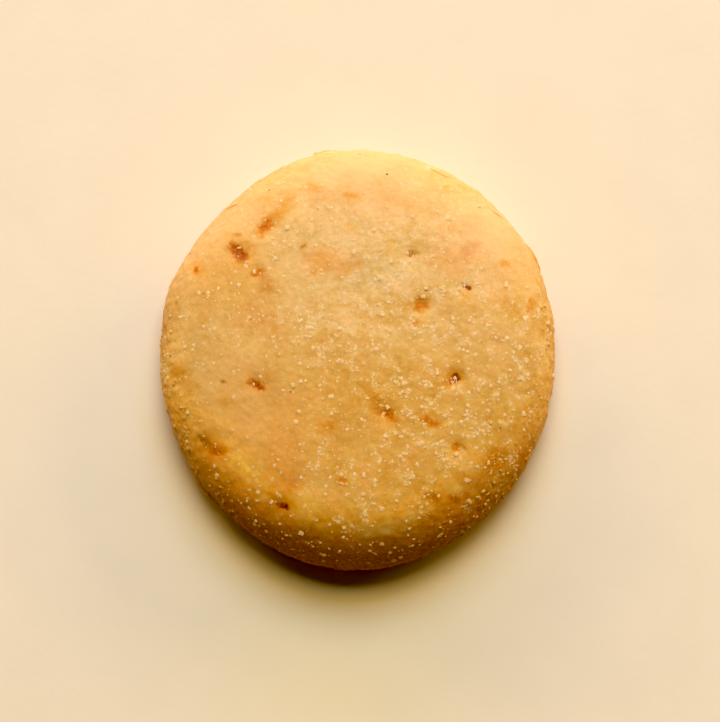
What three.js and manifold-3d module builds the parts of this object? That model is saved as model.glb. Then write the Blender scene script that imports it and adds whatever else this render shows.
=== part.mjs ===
// A hand-cut cheese biscuit: one thick, slightly oval round of short, crumbly dough, flat underneath
// and softly rounded over its edge, with a low crown, shallow pits where flecks sit in the crumb,
// thin lips of crust on its side, and coarse grains of salt baked onto it. Millimetres, +Z up,
// standing on z = 0, centred in X and Y.
import * as THREE from "three";
import { mergeVertices } from "three/addons/utils/BufferGeometryUtils.js";
import Module from "manifold-3d";

// Driving dimensions.
const WIDTH = 49.9; // the short way of the oval, at the widest line
const LENGTH = 53.6; // the long way of the oval, at the widest line
const THICKNESS = 10.4; // from the base to the middle of the top
const LEAN = -3.8; // degrees that the long axis turns away from Y

// The section, from the base up. Reaches are shares of the radius at the widest line.
const WIDEST_HEIGHT = 2.7; // where the side stands furthest out
const BASE_REACH = 0.935; // the flat base ends here, and the side curls out above it
const CROWN_SHARE = 0.1; // how much of the fall from the middle is a slow crown, not the shoulder
const SHOULDER_POWER = 6.4; // higher is a flatter top and a tighter shoulder
const SIDE_POWER = 0.52; // higher is a more slanting side

// The outline strays from an oval by these waves: how many round the edge, how far out, where one peaks.
const OUTLINE_WAVES = [
  { count: 3, reach: 0.14, peak: 36 },
  { count: 4, reach: 0.09, peak: 3 },
  { count: 5, reach: 0.07, peak: 36 },
  { count: 6, reach: 0.06, peak: -26 },
];
const CORNER = { peak: 160, spread: 7, reach: 0.42 }; // a blunt corner left by the cutter

// Broad unevenness of the crust: waves in all directions, each finer and lower than the last.
const RELIEF_WAVES = 12;
const LONGEST_WAVE = 22;
const SHORTEST_WAVE = 5;
const RELIEF_SHARE = 0.0045; // a wave's height as a share of its length
const SIDE_CALM = 0.4; // the cut side has this much of the top's unevenness
const RELIEF_FADE = 1.6; // the unevenness dies out over this height above the flat base

// Pits in the top where the larger flecks lie: place, radius and depth.
const PITS = [
  { x: -14.8, y: 11.8, radius: 2.0, depth: 0.16 },
  { x: -11.8, y: 15.1, radius: 2.1, depth: 0.12 },
  { x: -12.6, y: 9.2, radius: 1.8, depth: 0.12 },
  { x: 6.8, y: 11.7, radius: 1.8, depth: 0.14 },
  { x: 13.4, y: 7.3, radius: 1.8, depth: 0.16 },
  { x: 7.8, y: 5.2, radius: 1.9, depth: 0.14 },
  { x: 11.9, y: -4.1, radius: 1.8, depth: 0.2 },
  { x: -12.4, y: -4.8, radius: 1.9, depth: 0.14 },
  { x: 3.4, y: -8.6, radius: 2.0, depth: 0.16 },
  { x: -9.0, y: -19.7, radius: 1.8, depth: 0.16 },
  { x: -18.1, y: -12.3, radius: 2.2, depth: 0.14 },
  { x: 12.0, y: -12.9, radius: 1.7, depth: 0.16 },
];

// Thin lips of crust that stand out from the side. In degrees from X, each runs from one direction to
// another and stands out furthest at its peak. Its height is that of its underside.
const LIPS = [
  { from: 213, peak: 223, to: 226.5, height: 2.1, reach: 0.42 },
  { from: 94, peak: 101.5, to: 103, height: 3.0, reach: 0.45 },
  { from: 24, peak: 30, to: 35.5, height: 2.6, reach: 0.45 },
];
const LIP_THICKNESS = 0.5;
const LIP_ROOT = 1.2; // how far a lip runs on into the body
const LIP_STEPS = 10;

// The coarse grains: small rough cubes, alone or in loose clumps, more than half sunk in the crust.
const GRAIN_SPOTS = 134;
const GRAIN_SIZE = { least: 0.4, most: 0.75 };
const GRAIN_SIDES = { least: 0.7, most: 1.15 }; // a grain's three sides, as shares of its size
const GRAIN_SINK = 0.15; // how far a grain's middle lies under the crust, as a share of its size
const GRAIN_CLEARANCE = 0.8; // grains keep this share of their two sizes apart, middle to middle
const GRAINED_SHARE = 0.8; // grains lie on this much of the surface, counted from the middle of the top
const CLUMP = { every: 4, grains: 3, reach: 0.6 }; // each fourth spot holds a clump
const CHANCES_PER_GRAIN = 6;

// Patches where the crust is nearly bare of grains.
const BARE_PATCHES = [
  { x: 0, y: 25, radius: 9 },
  { x: -19, y: 15, radius: 8 },
  { x: 18, y: 16, radius: 7 },
  { x: -13, y: -9, radius: 7 },
];

// How finely the body is divided.
const DETAIL = 17; // divisions of each edge of the icosahedron that the body is bent from, less one
const PROFILE_STEPS = 600;
const BASE_WEIGHT = 0.12; // the flat base gets this share of the triangles that its area would

const CHANCE = { seed: 7.3, step: 12.9898, spread: 43758.5453 }; // the repeatable draw's constants
const GOLDEN_ANGLE = Math.PI * (3 - Math.sqrt(5));
const { clamp, degToRad, lerp, smoothstep } = THREE.MathUtils;
const CRUST = new THREE.MeshStandardMaterial({ color: 0xdfb164, roughness: 0.6, metalness: 0 });

// A scattered but repeatable number from 0 to 1 for each count.
function chance(count) {
  const wide = Math.sin(count * CHANCE.step + CHANCE.seed) * CHANCE.spread;
  return wide - Math.floor(wide);
}

// The radius of the widest line in a direction.
function outlineRadius(azimuth) {
  const turned = azimuth - degToRad(LEAN);
  let radius = 1 / Math.hypot(Math.cos(turned) / (WIDTH / 2), Math.sin(turned) / (LENGTH / 2));
  for (const wave of OUTLINE_WAVES) {
    radius += wave.reach * Math.cos(wave.count * (azimuth - degToRad(wave.peak)));
  }
  const fromCorner = azimuth - degToRad(CORNER.peak);
  const off = Math.atan2(Math.sin(fromCorner), Math.cos(fromCorner)) / degToRad(CORNER.spread);
  return radius + CORNER.reach * Math.exp(-off * off);
}

// The height of the upper surface at a reach.
function upperHeight(reach) {
  const fall = CROWN_SHARE * reach ** 2 + (1 - CROWN_SHARE) * reach ** SHOULDER_POWER;
  return WIDEST_HEIGHT + (THICKNESS - WIDEST_HEIGHT) * (1 - fall) ** SIDE_POWER;
}

// The section as points from the middle of the top, over the edge, to the middle of the base.
// Each has its reach, its height and the share of the body's triangles that lie before it.
function sectionPoints() {
  const points = [];
  for (let i = 0; i <= PROFILE_STEPS; i++) {
    const reach = i === PROFILE_STEPS ? 1 : Math.sin((i / PROFILE_STEPS) * (Math.PI / 2));
    points.push({ reach, height: upperHeight(reach) });
  }
  const curlSteps = PROFILE_STEPS / 4;
  for (let i = 1; i <= curlSteps; i++) {
    const turn = (i / curlSteps) * (Math.PI / 2);
    const reach = BASE_REACH + (1 - BASE_REACH) * Math.cos(turn);
    points.push({ reach, height: WIDEST_HEIGHT * (1 - Math.sin(turn)) });
  }
  for (let i = 1; i <= curlSteps; i++) {
    points.push({ reach: BASE_REACH * (1 - i / curlSteps), height: 0 });
  }
  const meanRadius = (WIDTH + LENGTH) / 4;
  let total = 0;
  points[0].before = 0;
  for (let i = 1; i < points.length; i++) {
    const [a, b] = [points[i - 1], points[i]];
    const length = Math.hypot((b.reach - a.reach) * meanRadius, b.height - a.height);
    const weight = a.height + b.height === 0 ? BASE_WEIGHT : 1;
    total += length * (a.reach + b.reach) * weight;
    b.before = total;
  }
  for (const point of points) {
    point.before /= total;
  }
  return points;
}

const section = sectionPoints();

// The smooth body's point and outward normal in a direction, at a share of the way over the section.
function smoothPoint(azimuth, share) {
  let low = 0;
  let high = section.length - 1;
  while (high - low > 1) {
    const middle = (low + high) >> 1;
    if (section[middle].before <= share) low = middle;
    else high = middle;
  }
  const [a, b] = [section[low], section[high]];
  const part = clamp((share - a.before) / (b.before - a.before), 0, 1);
  const radius = outlineRadius(azimuth);
  const across = (b.reach - a.reach) * radius;
  const down = a.height - b.height;
  const length = Math.hypot(across, down);
  const out = new THREE.Vector3(Math.cos(azimuth), Math.sin(azimuth), 0);
  const normal = out.clone().multiplyScalar(down / length);
  normal.z = across / length;
  const position = out.multiplyScalar(lerp(a.reach, b.reach, part) * radius);
  position.z = lerp(a.height, b.height, part);
  return { position, normal };
}

// How far the waves alone lift the crust at a point.
function relief(point) {
  let height = 0;
  for (let i = 0; i < RELIEF_WAVES; i++) {
    const length = LONGEST_WAVE * (SHORTEST_WAVE / LONGEST_WAVE) ** (i / (RELIEF_WAVES - 1));
    const up = 1 - (2 * i + 1) / RELIEF_WAVES;
    const level = Math.sqrt(1 - up * up);
    const turn = i * GOLDEN_ANGLE;
    const along = point.x * level * Math.cos(turn) + point.y * level * Math.sin(turn) + point.z * up;
    height += length * RELIEF_SHARE * Math.sin((2 * Math.PI * along) / length + turn);
  }
  return height;
}

// How far the pits sink the top at a point.
function pitDepth(point) {
  let depth = 0;
  for (const pit of PITS) {
    const away = Math.hypot(point.x - pit.x, point.y - pit.y) / pit.radius;
    depth += pit.depth * Math.exp(-2 * away * away);
  }
  return depth;
}

// The crust's point in a direction, at a share of the way from the middle of the top to that of the base.
function crustPoint(azimuth, share) {
  const { position, normal } = smoothPoint(azimuth, share);
  const calm = lerp(SIDE_CALM, 1, Math.max(normal.z, 0));
  const fade = smoothstep(position.z, 0, RELIEF_FADE);
  const pits = position.z > WIDEST_HEIGHT ? pitDepth(position) : 0;
  const lift = calm * fade * relief(position) - pits;
  return { position: position.addScaledVector(normal, lift), normal };
}

// A closed geometry as a manifold-3d solid.
function solidOf(wasm, geometry) {
  const bare = geometry.clone();
  bare.deleteAttribute("normal");
  bare.deleteAttribute("uv");
  const merged = mergeVertices(bare);
  const vertProperties = merged.attributes.position.array;
  const triVerts = new Uint32Array(merged.index.array);
  return new wasm.Manifold(new wasm.Mesh({ numProp: 3, vertProperties, triVerts }));
}

// The bare body: an even ball of triangles whose points are sent to the crust.
function bodyGeometry() {
  const ball = new THREE.IcosahedronGeometry(1, DETAIL);
  ball.deleteAttribute("normal");
  ball.deleteAttribute("uv");
  const geometry = mergeVertices(ball);
  const places = geometry.attributes.position;
  for (let i = 0; i < places.count; i++) {
    const share = (1 - places.getZ(i)) / 2;
    const { position } = crustPoint(Math.atan2(places.getY(i), places.getX(i)), share);
    places.setXYZ(i, position.x, position.y, position.z);
  }
  return geometry;
}

// A lip of crust: a level sliver along the outline, rooted in the body and running out at both ends.
function lipGeometry(lip) {
  const edge = [];
  const root = [];
  for (let i = 0; i <= LIP_STEPS; i++) {
    const degrees = lerp(lip.from, lip.to, i / LIP_STEPS);
    const end = degrees < lip.peak ? lip.from : lip.to;
    const share = 1 - ((degrees - lip.peak) / (end - lip.peak)) ** 2;
    const azimuth = degToRad(degrees);
    const radius = outlineRadius(azimuth);
    const out = new THREE.Vector2(Math.cos(azimuth), Math.sin(azimuth));
    edge.push(out.clone().multiplyScalar(radius + lip.reach * share));
    root.unshift(out.multiplyScalar(radius - LIP_ROOT));
  }
  const shape = new THREE.Shape([...edge, ...root]);
  const geometry = new THREE.ExtrudeGeometry(shape, { depth: LIP_THICKNESS, bevelEnabled: false });
  return geometry.translate(0, 0, lip.height);
}

// One rough cube of salt, with its middle at a place, turned at random.
function grainGeometry(grain) {
  const [a, b, c, d, e, f] = Array.from({ length: CHANCES_PER_GRAIN }, (_, i) => chance(grain.draw + i));
  const sides = [a, b, c].map((share) => grain.size * lerp(GRAIN_SIDES.least, GRAIN_SIDES.most, share));
  const turns = new THREE.Euler(d * Math.PI, e * Math.PI, f * Math.PI);
  const geometry = new THREE.BoxGeometry(...sides);
  geometry.applyQuaternion(new THREE.Quaternion().setFromEuler(turns));
  return geometry.translate(grain.place.x, grain.place.y, grain.place.z);
}

// Whether a place on the crust may have a grain: seldom in a bare patch, and always away from one.
function isGrained(place, draw) {
  const bareness = BARE_PATCHES.map((patch) => {
    const away = Math.hypot(place.x - patch.x, place.y - patch.y) / patch.radius;
    return Math.exp(-away * away);
  });
  return chance(draw) > Math.max(...bareness);
}

// Every coarse grain's place and size, on a sunflower spiral over the top and the side.
function grainPlaces() {
  const grains = [];
  for (let i = 0; i < GRAIN_SPOTS; i++) {
    const share = (GRAINED_SHARE * (i + 0.5)) / GRAIN_SPOTS;
    const azimuth = i * GOLDEN_ANGLE;
    const { position, normal } = crustPoint(azimuth, share);
    const around = new THREE.Vector3(-Math.sin(azimuth), Math.cos(azimuth), 0);
    const along = normal.clone().cross(around);
    const isClump = i % CLUMP.every === 0;
    for (let j = 0; j < (isClump ? CLUMP.grains : 1); j++) {
      const draw = (i * CLUMP.grains + j) * 2 * CHANCES_PER_GRAIN;
      const size = lerp(GRAIN_SIZE.least, GRAIN_SIZE.most, chance(draw + CHANCES_PER_GRAIN) ** 2);
      const turn = 2 * Math.PI * (j / CLUMP.grains + chance(draw + CHANCES_PER_GRAIN + 1) / CLUMP.grains);
      const reach = isClump ? CLUMP.reach : 0;
      const place = position.clone().addScaledVector(normal, -size * GRAIN_SINK);
      place.addScaledVector(around, reach * Math.cos(turn)).addScaledVector(along, reach * Math.sin(turn));
      const isClear = grains.every(
        (other) => other.place.distanceTo(place) > (other.size + size) * GRAIN_CLEARANCE,
      );
      if (isClear && isGrained(place, draw + CHANCES_PER_GRAIN + 2)) grains.push({ place, size, draw });
    }
  }
  return grains;
}

const wasm = await Module();
wasm.setup();

// The whole biscuit: the body with its lips and grains fused on, standing on z = 0 and with the bare
// body centred.
function biscuit() {
  const body = bodyGeometry();
  body.computeBoundingBox();
  const middle = body.boundingBox.getCenter(new THREE.Vector3());
  let solid = solidOf(wasm, body);
  for (const lip of LIPS) {
    solid = solid.add(solidOf(wasm, lipGeometry(lip)));
  }
  for (const grain of grainPlaces()) {
    solid = solid.add(solidOf(wasm, grainGeometry(grain)));
  }
  const made = solid.getMesh();
  const geometry = new THREE.BufferGeometry();
  geometry.setAttribute("position", new THREE.BufferAttribute(made.vertProperties, made.numProp));
  geometry.setIndex(new THREE.BufferAttribute(made.triVerts, 1));
  geometry.translate(-middle.x, -middle.y, -body.boundingBox.min.z);
  geometry.computeVertexNormals();
  const mesh = new THREE.Mesh(geometry, CRUST);
  mesh.name = "biscuit";
  return mesh;
}

const group = new THREE.Group();
group.add(biscuit());
export default group;
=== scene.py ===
"""The looks of a cheese biscuit, made in Blender 4.5 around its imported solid.

The body repeats the form of the solid from the same named sizes and adds the crust's finer relief.
Lips of crust, cracks, specks, salt and crumbs are joined meshes at their true size. Sizes and places
are in millimetres until a mesh is made, and angles are in degrees where they are named.
"""

import math
from typing import NamedTuple

import bmesh
import bpy
import numpy as np
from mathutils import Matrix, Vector, noise


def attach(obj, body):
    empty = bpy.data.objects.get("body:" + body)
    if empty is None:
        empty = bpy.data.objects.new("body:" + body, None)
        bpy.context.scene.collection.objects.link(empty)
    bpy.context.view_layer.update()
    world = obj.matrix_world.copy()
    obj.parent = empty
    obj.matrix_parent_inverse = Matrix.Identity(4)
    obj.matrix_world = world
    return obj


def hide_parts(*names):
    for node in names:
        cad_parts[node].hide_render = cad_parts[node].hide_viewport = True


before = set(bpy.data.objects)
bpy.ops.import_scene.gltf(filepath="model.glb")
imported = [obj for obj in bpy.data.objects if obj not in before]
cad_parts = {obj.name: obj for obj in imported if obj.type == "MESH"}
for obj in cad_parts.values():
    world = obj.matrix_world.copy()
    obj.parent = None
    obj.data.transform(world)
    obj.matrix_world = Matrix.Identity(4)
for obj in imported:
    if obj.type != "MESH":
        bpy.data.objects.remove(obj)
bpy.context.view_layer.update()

MM = 0.001
GOLDEN_ANGLE = math.pi * (3 - math.sqrt(5))
NEARLY_NOTHING = 1e-9
MERGE_DECIMALS = 5  # points of the ball that agree to so many decimals are one

# ---------------------------------------------------------------- the form, as the solid has it

WIDTH = 49.9  # the short way of the oval, at the widest line
LENGTH = 53.6  # the long way of the oval, at the widest line
THICKNESS = 10.4  # from the base to the middle of the top
LEAN = -3.8  # how far the long axis turns away from Y

WIDEST_HEIGHT = 2.7  # where the side stands furthest out
BASE_REACH = 0.935  # the flat base ends at this share of the widest radius
CROWN_SHARE = 0.1  # how much of the fall from the middle is a slow crown, not the shoulder
SHOULDER_POWER = 6.4  # higher is a flatter top and a tighter shoulder
SIDE_POWER = 0.52  # higher is a more slanting side

# Waves of the outline: how many round the edge, how far out, where one peaks.
OUTLINE_WAVES = [(3, 0.14, 36), (4, 0.09, 3), (5, 0.07, 36), (6, 0.06, -26)]
CORNER_PEAK, CORNER_SPREAD, CORNER_REACH = 160, 7, 0.42  # a blunt corner left by the cutter

RELIEF_WAVES = 12
LONGEST_WAVE = 22
SHORTEST_WAVE = 5
RELIEF_SHARE = 0.0045  # a wave's height as a share of its length
SIDE_CALM = 0.4  # the cut side has this much of the top's unevenness
RELIEF_FADE = 1.6  # the unevenness dies out over this height above the flat base

# Pits in the top where the larger flecks lie: x, y, radius and depth.
PITS = [
    (-14.8, 11.8, 2.0, 0.16),
    (-11.8, 15.1, 2.1, 0.12),
    (-12.6, 9.2, 1.8, 0.12),
    (6.8, 11.7, 1.8, 0.14),
    (13.4, 7.3, 1.8, 0.16),
    (7.8, 5.2, 1.9, 0.14),
    (11.9, -4.1, 1.8, 0.2),
    (-12.4, -4.8, 1.9, 0.14),
    (3.4, -8.6, 2.0, 0.16),
    (-9.0, -19.7, 1.8, 0.16),
    (-18.1, -12.3, 2.2, 0.14),
    (12.0, -12.9, 1.7, 0.16),
]

# Thin lips of crust that stand out from the side: from one direction to another, the direction where
# each stands out furthest, the height of its underside and how far it stands out.
LIPS = [(213, 226.5, 223, 2.1, 0.42), (94, 103, 101.5, 3.0, 0.45), (24, 35.5, 30, 2.6, 0.45)]
LIP_THICKNESS = 0.5
LIP_ROOT = 1.2  # how far a lip runs on into the body
LIP_THINNING = 0.5  # how much thinner than its middle its edge is, as a share

# The coarse grains of salt, where the solid has them.
GRAIN_SPOTS = 134
GRAIN_SIZE = (0.4, 0.75)
GRAIN_SIDES = (0.7, 1.15)  # a grain's three sides, as shares of its size
GRAIN_BEVEL = 0.12  # how far its edges are cut off, as a share of its size
GRAIN_SKEW = 2  # the higher, the more of them are small
GRAIN_SINK = 0.15  # how far a grain's middle lies under the crust, as a share of its size
GRAIN_CLEARANCE = 0.8  # grains keep this share of their two sizes apart, middle to middle
GRAINED_SHARE = 0.8  # grains lie on this much of the surface, counted from the middle of the top
CLUMP_EVERY, CLUMP_GRAINS, CLUMP_REACH = 4, 3, 0.6  # one spot in 4 has 3 grains, each so far from it
CHANCES_PER_GRAIN = 6

# Patches where the crust is nearly bare of salt: x, y and radius.
BARE_PATCHES = [(0, 25, 9), (-19, 15, 8), (18, 16, 7), (-13, -9, 7)]

PROFILE_STEPS = 600
BASE_WEIGHT = 0.12  # the flat base gets this share of the triangles that its area would
CHANCE_SEED, CHANCE_STEP, CHANCE_SPREAD = 7.3, 12.9898, 43758.5453

# ---------------------------------------------------------------- what this scene adds

BODY_DIVISIONS = 96  # of each edge of the icosahedron that the body is bent from

RELIEF_SHOWN = 0.4  # of the solid's broad waves, which show harder in this light than the photo's do
CRUMB_BUMPS = [(2.6, 0.03), (1.2, 0.026), (0.6, 0.024)]  # the crust's crumb: the bumps' size and height
CRUMB_ON_SIDE = 5.5  # how much rougher the cut side is than the top
MARK_BUMPS = [(1.4, 0.5), (0.5, 0.25)]  # the marks' ragged edges: the bumps' size, and how far they go
MARK_FADE = (0.3, 1.6)  # a mark fades from the first to the second share of the way to its edge
MARKS_END = 1  # the marks fade out over this height above the widest line
UNDERSIDE = (0.2, 0.9)  # how far the crust faces down where it begins to be toasted and where it is

FINE_SALT_TRIES = 34000  # places drawn for fine salt, of which the saltiness keeps some
FINE_SALT_STRIDE = 11  # from one place's first draw to the next one's
FINE_SALT_SIZE = (0.15, 0.46)
FINE_SALT_SKEW = 2.5
FINE_SALT_SINK = 0.22  # how far a fine crystal's middle lies under the crust, as a share of its size
SALT_JITTER = 0.12  # how far a crystal's corners stray, as a share of its size
SALT_PRESSED = 0.4  # how much flatter salt and crumbs are, against the crust, than they are wide
SALT_SOFTNESS = (0.45, 0.84)  # how far a crystal's normals lean upward, on the side and on top
CRUST_LEAN = 0.35  # how much of that follows the crust, where the rest is straight up
SALT_LIES_ON = 0.8  # salt lies on this much of the surface, counted from the middle of the top
USUAL_SALT = 0.12  # how thickly fine salt lies away from the drifts
EDGE_SALT = -0.05  # what the browned and shaded edge adds to it, as its salt is sparser
SALT_GATHERS = 1.3  # how far apart the salt's little drifts lie
SALT_FRAYS = (2.3, 0.5)  # bumps that many times smaller and that strong fray the little drifts
GATHERING = (-0.05, 0.55)  # the heights of the bumps between which the salt gathers
GATHERED = (0.15, 2.15)  # how much of it lies between the little drifts and on them

# Salt too fine for the mesh is dots in the colour.
DUST_SPACING = 0.3
DUST_DOT = (0.5, 0.15)  # a dot begins and is full at these shares of the spacing from its middle
DUST_SHOWN = (0.15, 0.8)  # the shares of the dots that show where there is no dust and where it is full
DUST_ON_BROWNED_SHADE = 0.2  # the browned and shaded edge has this much of the dust that its salt would give
DUST_ON_LIPS = 0.5  # and the lips have this much

LIP_TINTS = [(1.10, 1.12, 1.40), (1.08, 1.04, 1.05), (0.97, 0.84, 0.60)]  # each lip's, as marks have them
LIP_DIVISIONS = 70  # along a lip
LIP_ROUND = 10  # points round a lip's section
LIP_BUMPS = [(1.1, 0.13), (0.45, 0.07)]  # the lips' ragged edge: the bumps' size, and how far they stray

# A crack is a flat dark sliver over the crust, with no gap in the mesh: its colour is painted shade of the
# gap.
CRACK_WIDTH = 0.13
CRACK_STEPS = 14
CRACK_BUMPS, CRACK_STRAY = 0.5, 0.12  # how long a crack's bends are, and how far they stray
CRACK_TIP = 0.02  # its width stops narrowing at this share of its length from each end
CRACK_LIFT = 0.025  # how far it lies over the crust

SPECK_SIZE = (0.17, 0.28)
SPECK_STRIDE, SPECK_OFFSET = 7, 0.3  # from one speck's first draw to the next one's, and of its size's draw

BROWNED_SHADED_EDGE = (198, 236, 296, 345)  # directions between which the edge begins to brown and darken, is fully so and pales again: partly real browning, partly painted shade on the side turned from the lamps
BROWNED_SHADED_HEIGHTS = (8.2, 9.5)  # it is brown and darker below the first height and not above the second
RIM_HEIGHT, RIM_SPREAD = 9.35, 0.6  # over the browned edge runs a lighter band: partly paler crust, partly painted light on the front shoulder
FOOT_HEIGHTS = (4.5, 7.8)  # the browned edge is darker below the first height and not above the second: partly a toasted foot, partly painted shade
BORDER_BUMPS = [(2.4, 0.6), (0.9, 0.35)]  # its ragged border: the bumps' size, and how far they stray
END_BUMPS, END_STRAY = 4, 12  # the same at its two ends, where they stray by degrees

CRUMBS = 420
CRUMB_STRIDE = 13
CRUMB_OFFSETS = (0.1, 1.1, 2.1)  # of the draws for a crumb's direction, share of the surface and size
CRUMB_SIZE = (0.22, 0.6)
CRUMB_SKEW = 3
CRUMBED_EDGE = (170, 375)  # crumbs hang on this stretch of the edge, in degrees from X
CRUMBED_SHARES = (0.5, 0.86)  # and between these shares of the surface, counted from the middle of the top

# How many bumps apart the random bumps for different uses lie, so that they don't repeat each other.
WARP_SHIFT = 50
CRUMB_SHIFT = 31
LIP_SHIFTS = (7, 17, 27)

STRAY_STEP = 1.7  # between the draws for the corners of crystals

FLOOR_REACH = 1500  # from the middle of the sheet to its edges
FLOOR_DROP = 0.02  # from the biscuit's base to the sheet


class Drift(NamedTuple):
    """A place where more salt lies."""

    x: float
    y: float
    long: float  # half its length
    wide: float  # half its width
    turn: float  # how far its length turns from X
    more: float  # what it adds to the usual salt


DRIFTS = [
    Drift(6, 3, 13, 9, 0, 0.2),
    Drift(10, -7, 9, 9, 0, 0.25),
    Drift(-2, 0, 9, 6, 0, 0.15),
    Drift(3, -17, 12, 5, 0, 0.14),
    Drift(-5.5, 17.0, 1.6, 3.2, 0, 0.4),
    Drift(3.1, 16.6, 3.2, 2.2, 0, 0.5),
    Drift(1.7, 6.9, 5.5, 3.0, -15, 0.3),
    Drift(13.9, 7.6, 1.6, 1.8, 0, 0.5),
    Drift(20.6, -1.0, 2.5, 3.6, 0, 0.35),
    Drift(19.1, -7.3, 2.6, 4.2, -20, 0.35),
    Drift(6.1, -12.8, 8.0, 3.6, 0, 0.2),
    Drift(-22.2, -12.6, 0.6, 3.0, 30, 1.5),
    Drift(-6.8, 3.3, 5.0, 1.3, -12, 0.7),
    Drift(-1.0, -0.6, 1.2, 0.9, 0, 2.5),
    Drift(-2.2, -0.2, 3.2, 1.4, 0, 0.7),
    Drift(-5.2, -2.1, 0.9, 0.6, 0, 1.2),
    Drift(8.2, 1.8, 3.4, 1.2, -10, 0.8),
    Drift(2.1, 1.6, 0.9, 0.7, 0, 1.0),
    Drift(-5.8, -15.4, 1.0, 0.6, 0, 1.2),
    Drift(-4.1, -12.0, 0.7, 0.7, 0, 1.2),
    Drift(0.2, -14.6, 0.8, 0.6, 0, 1.2),
    Drift(-0.9, -21.8, 1.8, 0.8, 20, 1.2),
    Drift(7.2, -19.0, 0.9, 0.7, 0, 1.2),
    Drift(14.1, -9.5, 0.9, 0.9, 0, 1.2),
    Drift(16.1, 5.5, 0.8, 0.8, 0, 1.2),
    Drift(12.3, -14.3, 1.6, 0.6, 50, 1.6),
    Drift(12.3, 7.4, 0.9, 0.6, 0, 2.5),
    Drift(-12.5, 9.9, 1.2, 0.5, -20, 1.6),
    Drift(-9.1, 12.3, 2.0, 0.6, -10, 0.7),
    Drift(19.4, -14.6, 0.5, 1.2, 15, 2.5),
    Drift(-24.3, -2.4, 0.5, 0.9, 0, 2.5),
]

# Colours, as shares of the light that a surface gives back.
DEEP_DOUGH = (0.63, 0.31, 0.042, 1)
PALE_DOUGH = (0.81, 0.525, 0.185, 1)
BARE_DOUGH = (0.83, 0.475, 0.19, 1)
PEACH_DOUGH = (0.80, 0.44, 0.145, 1)
HAZE = (0.87, 0.60, 0.26, 1)  # dough under a haze of salt dust
SALT = (0.91, 0.605, 0.30, 1)
DULL_SALT = (0.81, 0.50, 0.19, 1)
CRUMB = (0.83, 0.49, 0.15, 1)
SPECK = (0.22, 0.10, 0.03, 1)
# The cracks' colour is painted shade of a gap that the mesh doesn't have.
PAINTED_CRACK_SHADE = (0.52, 0.24, 0.06, 1)
PAPER = (0.90, 0.78, 0.60, 1)
PAPER_BOUNCE = (0.60, 0.44, 0.19, 1)  # what it throws back on the biscuit, whose shade is dark and warm

# What each kind of mark leaves of the dough's own colour. A value over 1 lightens it.
DARK_RED = (0.52, 0.20, 0.035)
DEEP_RED = (0.30, 0.07, 0.02)
BROWN = (0.58, 0.35, 0.10)
RED_ORANGE = (0.80, 0.41, 0.07)
ORANGE = (0.93, 0.70, 0.32)
PINK = (0.88, 0.74, 0.62)
OLIVE = (0.50, 0.42, 0.16)
TOASTED = (0.80, 0.62, 0.28)
# The browned edge's tint: partly real browning, partly painted shade where the crust turns from the lamps.
BROWNED_AND_SHADED = (0.84, 0.57, 0.25)
# The foot's tint: partly toasting, partly painted shade low on the side turned from the lamps.
TOASTED_SHADED_FOOT = (0.84, 0.76, 0.55)
# The rim's tint: partly paler crust, partly painted light on the shoulder over the browned edge.
PALE_RIM_PAINTED_LIGHT = (1.18, 1.03, 0.58)
# The paler tint is partly a paler crust under salt haze and partly painted light: a painted sheen on the half
# toward the lamps, and light painted over a shaded dip and the low left shoulder.
PALER_PAINTED_LIGHT = (1.06, 1.17, 1.5)
# The golden tint deepens the crust, and over the front half it is partly painted shade where the crust turns
# from the lamps.
GOLDEN_PAINTED_SHADE = (0.94, 0.87, 0.62)
PEACH = (1.02, 0.90, 0.82)
# The lighter tint is painted light on the rims and low shoulders, where the lamps leave them darker.
PAINTED_EDGE_LIGHT = (1.24, 1.20, 1.05)
YELLOW = (1.0, 0.93, 0.62)


class Mark(NamedTuple):
    """A coloured fleck, a patch of another tone in the crust, or a patch of painted light or shade, seen from
    above.
    """

    x: float
    y: float
    long: float  # half its length
    wide: float  # half its width
    turn: float  # how far its length turns from X
    tint: tuple  # what it leaves of the dough's own colour
    strength: float = 1.0  # how much of its tint shows
    sink: float = 0.0  # how deep it lies in the crust
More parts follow.
